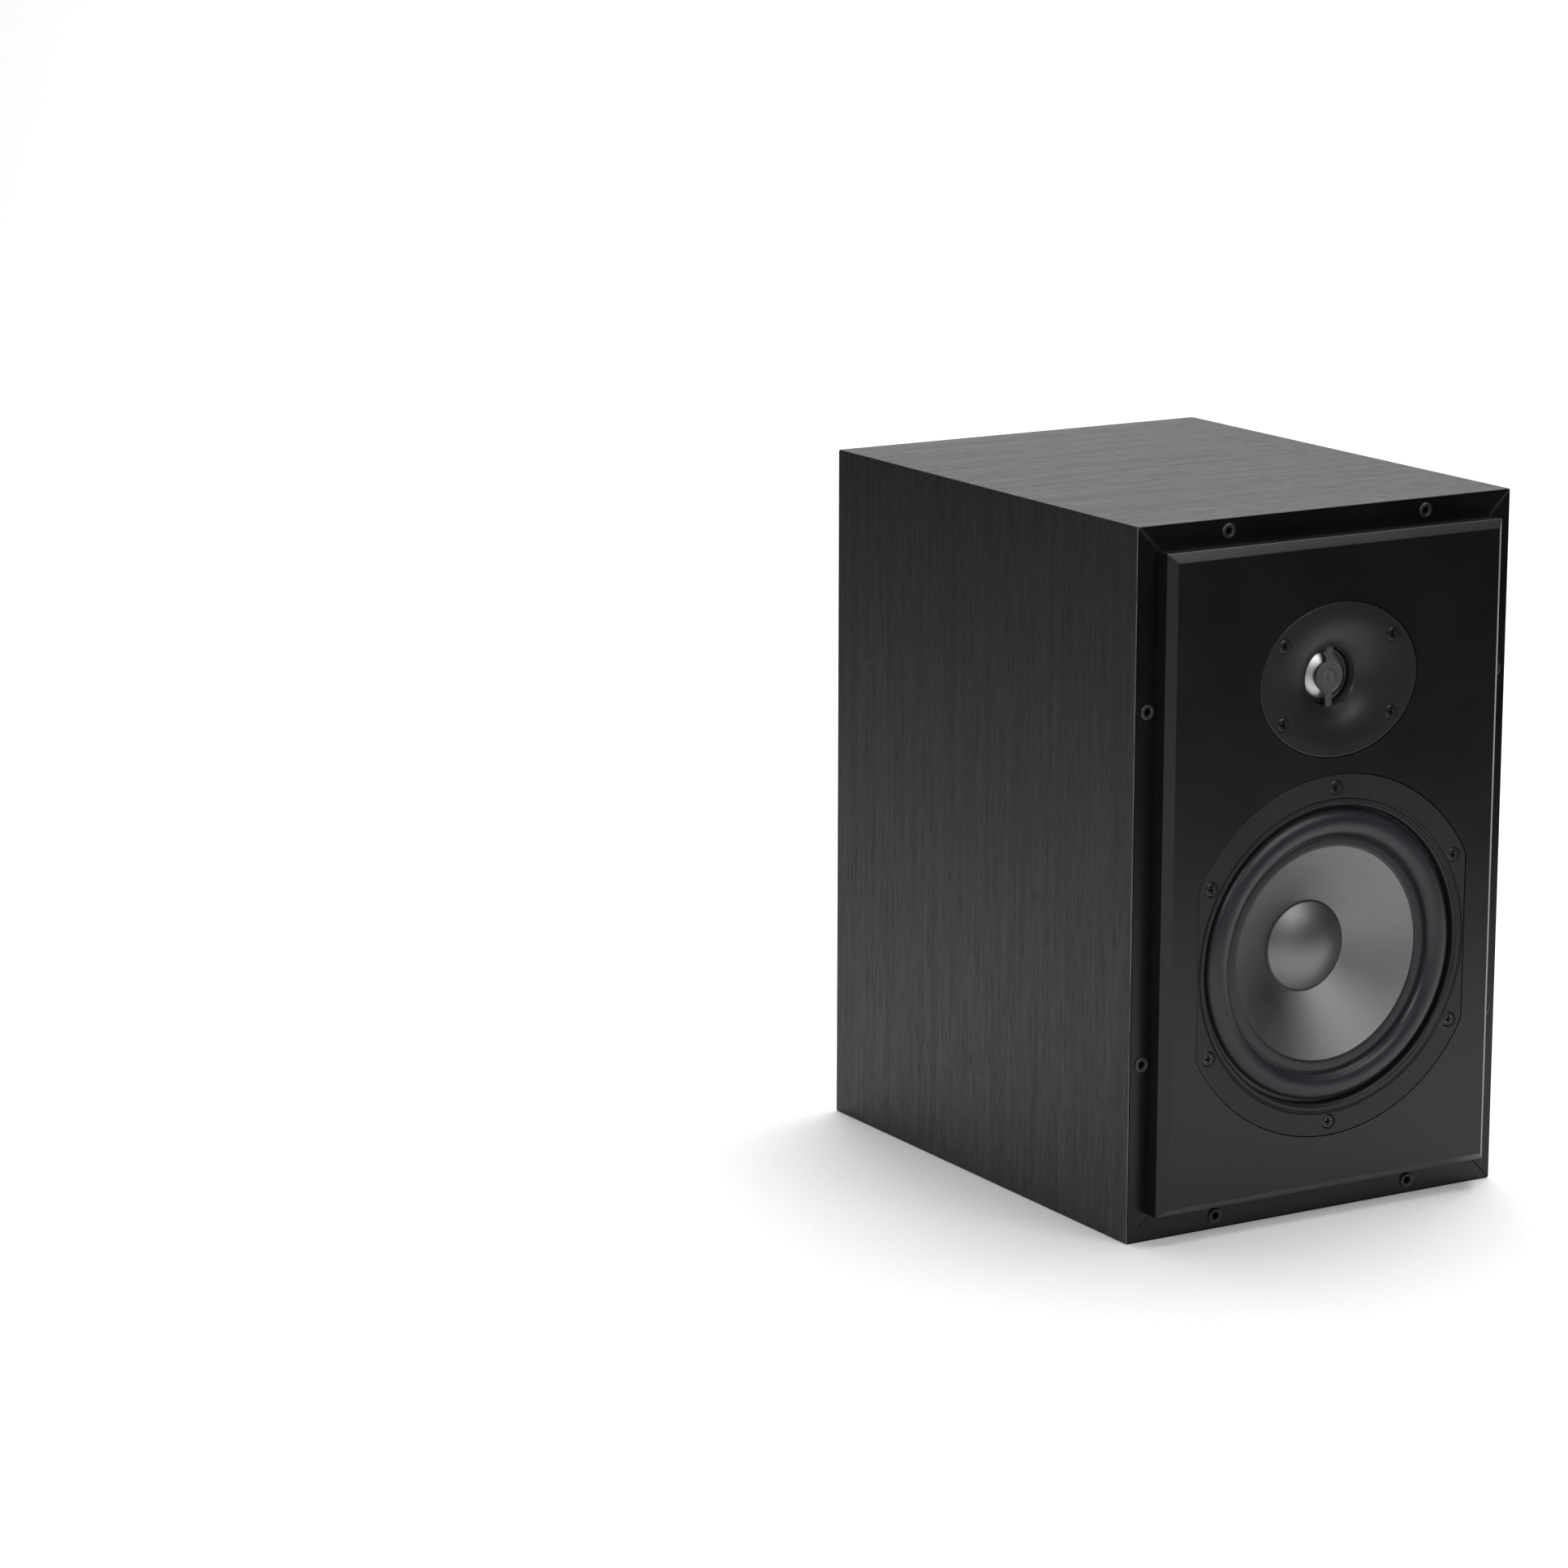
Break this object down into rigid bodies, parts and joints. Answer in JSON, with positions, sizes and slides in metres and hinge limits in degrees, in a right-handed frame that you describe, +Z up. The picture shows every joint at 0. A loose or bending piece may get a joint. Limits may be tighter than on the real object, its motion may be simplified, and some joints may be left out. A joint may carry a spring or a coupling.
{
  "type": "bookshelf loudspeaker",
  "caption": "Two-way bookshelf loudspeaker: mitred black cabinet, raised bevelled baffle, horn-loaded dome tweeter in an oval plate, metal-cone woofer, rear port and posts.",
  "frame": {"origin": "middle of the cabinet's footprint, on the ground plane", "axes": "+Z up, -Y out of the front baffle, +X to the right of someone facing the front"},
  "size_m": [0.27, 0.348, 0.43],
  "materials": {
    "black_vinyl": "satin black wood-grain vinyl over fibreboard",
    "black_paint": "satin black fibreboard",
    "bare_board": "bare fibreboard",
    "felt_grey": "grey felt",
    "socket_plastic": "black moulded plastic",
    "frame_black": "fine textured black paint",
    "rubber_black": "satin butyl rubber",
    "cone_metal": "spun, anodised silver",
    "cap_metal": "pressed, satin",
    "coil_copper": "enamelled copper wire",
    "spider_cloth": "resin-dipped yellow cloth",
    "zinc_steel": "zinc plated",
    "ferrite": "pressed ferrite",
    "screw_black": "black oxide",
    "plate_black": "satin black moulding",
    "dome_metal": "bright drawn dome",
    "post_metal": "gilt brass",
    "post_red": "clear red moulding",
    "post_black": "black moulding",
    "moulded_black": "black moulded plastic",
    "board_green": "lacquered circuit board",
    "film_yellow": "yellow film wrap",
    "cable_grey": "grey flex"
  },
  "bodies": {
    "cabinet": {"back_panel": "black_vinyl", "bottom_panel": "black_vinyl", "crossover_board": "board_green", "crossover_capacitor": "film_yellow", "crossover_coil": "coil_copper", "cup_screw_1": "screw_black", "cup_screw_2": "screw_black", "damping_lining": "felt_grey", "front_baffle": "black_paint", "grille_socket_bottom_left": "socket_plastic", "grille_socket_bottom_right": "socket_plastic", "grille_socket_lower_left": "socket_plastic", "grille_socket_lower_right": "socket_plastic", "grille_socket_top_left": "socket_plastic", "grille_socket_top_right": "socket_plastic", "grille_socket_upper_left": "socket_plastic", "grille_socket_upper_right": "socket_plastic", "input_cable_black": "cable_grey", "input_cable_red": "cable_grey", "left_panel": "black_vinyl", "port_tube": "moulded_black", "post_stud_black": "post_metal", "post_stud_red": "post_metal", "right_panel": "black_vinyl", "terminal_cup": "moulded_black", "top_panel": "black_vinyl", "tweeter_cable": "cable_grey", "tweeter_faceplate": "plate_black", "tweeter_magnet": "ferrite", "tweeter_phase_bridge": "plate_black", "tweeter_screw_1": "screw_black", "tweeter_screw_2": "screw_black", "tweeter_screw_3": "screw_black", "tweeter_screw_4": "screw_black", "tweeter_surround": "rubber_black", "tweeter_top_plate": "zinc_steel", "tweeter_yoke": "zinc_steel", "window_brace": "bare_board", "woofer_cable": "cable_grey", "woofer_frame": "frame_black", "woofer_magnet": "ferrite", "woofer_screw_1": "screw_black", "woofer_screw_2": "screw_black", "woofer_screw_3": "screw_black", "woofer_screw_4": "screw_black", "woofer_screw_5": "screw_black", "woofer_screw_6": "screw_black", "woofer_spider": "spider_cloth", "woofer_surround": "rubber_black", "woofer_top_plate": "zinc_steel", "woofer_yoke": "zinc_steel"},
    "woofer_moving": {"woofer_cone": "cone_metal", "woofer_dust_cap": "cap_metal", "woofer_voice_coil": "coil_copper"},
    "tweeter_moving": {"tweeter_dome": "dome_metal", "tweeter_voice_coil": "coil_copper"},
    "post_nut_red": {"post_insert_red": "post_metal"},
    "post_knob_red": {"post_cap_red": "post_red"},
    "post_nut_black": {"post_insert_black": "post_metal"},
    "post_knob_black": {"post_cap_black": "post_black"}
  },
  "joints": [
    {"name": "woofer_travel", "type": "slide", "parent": "cabinet", "child": "woofer_moving", "axis": [0, -1, 0], "range_m": [-0.006, 0.006], "stiffness_N_per_m": 1200, "deforming": ["woofer_surround", "woofer_spider"]},
    {"name": "tweeter_travel", "type": "slide", "parent": "cabinet", "child": "tweeter_moving", "axis": [0, -1, 0], "range_m": [-0.0004, 0.0004], "stiffness_N_per_m": 200, "deforming": ["tweeter_surround"]},
    {"name": "post_red_advance", "type": "slide", "parent": "cabinet", "child": "post_nut_red", "axis": [0, 1, 0], "range_m": [0, 0.004]},
    {"name": "post_red_turn", "type": "hinge", "parent": "post_nut_red", "child": "post_knob_red", "pos_m": [-0.011, 0.16, 0.112], "axis": [0, 1, 0], "range_deg": [0, 1800]},
    {"name": "post_black_advance", "type": "slide", "parent": "cabinet", "child": "post_nut_black", "axis": [0, 1, 0], "range_m": [0, 0.004]},
    {"name": "post_black_turn", "type": "hinge", "parent": "post_nut_black", "child": "post_knob_black", "pos_m": [0.011, 0.16, 0.112], "axis": [0, 1, 0], "range_deg": [0, 1800]}
  ],
  "couplings": [
    {"joint": "post_red_turn", "follows": "post_red_advance", "rad_per_m": 7854},
    {"joint": "post_black_turn", "follows": "post_black_advance", "rad_per_m": 7854}
  ]
}
